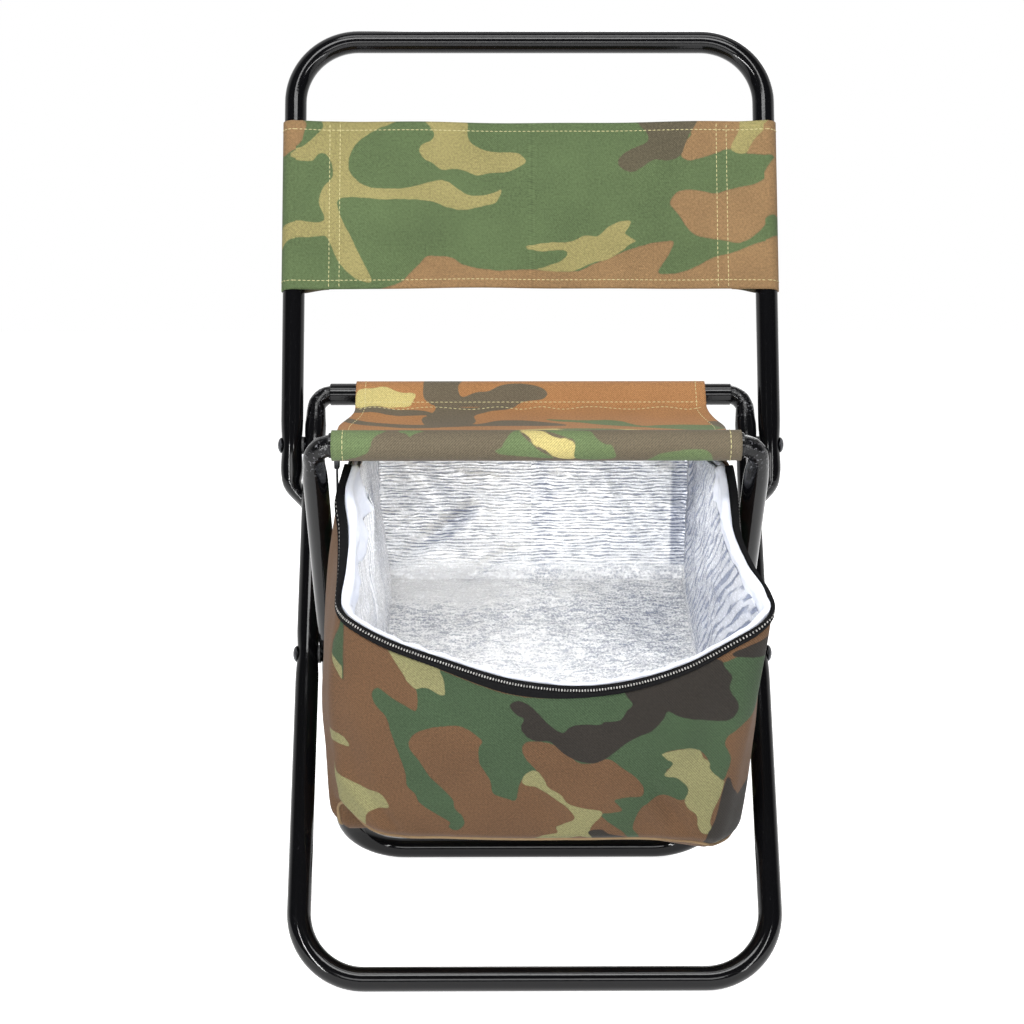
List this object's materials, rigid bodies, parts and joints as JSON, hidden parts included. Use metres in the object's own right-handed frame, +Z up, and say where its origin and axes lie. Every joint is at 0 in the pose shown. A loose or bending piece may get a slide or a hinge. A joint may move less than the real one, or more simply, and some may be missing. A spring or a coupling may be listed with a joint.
{
  "type": "folding cooler stool",
  "caption": "Folding stool of black steel tube loops with a camouflage cloth seat, a folding cloth backrest and an insulated bag with a zipped front under the seat.",
  "frame": {"origin": "on the floor, under the middle of the whole stool's bounding box", "axes": "+Z up; +Y from the open front of the bag to the backrest; +X to the right of someone who faces the front of the stool"},
  "size_m": [0.3642, 0.336, 0.625],
  "materials": {
    "black_tube": "gloss black powder coat",
    "rivet_steel": "darkened steel",
    "nylon": "black moulded plastic",
    "camouflage_cloth": "woven polyester printed with large blobs of green, brown, tan and near black",
    "white_foam": "soft white sheet foam",
    "silver_foil": "crumpled reflective foil film",
    "zip_tape": "black woven tape with moulded teeth",
    "zip_metal": "black lacquer"
  },
  "bodies": {
    "outer_legs": {"outer_leg_frame": "black_tube", "rear_seat_bar": "black_tube", "cross_rivet_left": "rivet_steel", "cross_rivet_right": "rivet_steel", "cross_washer_left": "nylon", "cross_washer_right": "nylon", "backrest_rivet_left": "rivet_steel", "backrest_rivet_right": "rivet_steel", "backrest_washer_left": "nylon", "backrest_washer_right": "nylon", "seat_cloth": "camouflage_cloth", "bag_shell": "camouflage_cloth", "foam_lining": "white_foam", "foil_lining": "silver_foil", "bag_zip": "zip_tape", "seat_zip": "zip_tape", "zip_slider": "zip_metal", "zip_pull": "zip_metal"},
    "inner_legs": {"inner_leg_frame": "black_tube", "front_seat_bar": "black_tube"},
    "backrest": {"backrest_frame": "black_tube", "backrest_band": "camouflage_cloth"}
  },
  "joints": [
    {"name": "legs_fold", "type": "hinge", "parent": "outer_legs", "child": "inner_legs", "pos_m": [0, -0.01257, 0.19637], "axis": [-1, 0, 0], "range_deg": [0, 58], "deforming": ["seat_cloth"]},
    {"name": "backrest_fold", "type": "hinge", "parent": "outer_legs", "child": "backrest", "pos_m": [0, 0.06908, 0.3298], "axis": [1, 0, 0], "range_deg": [0, 92]}
  ]
}
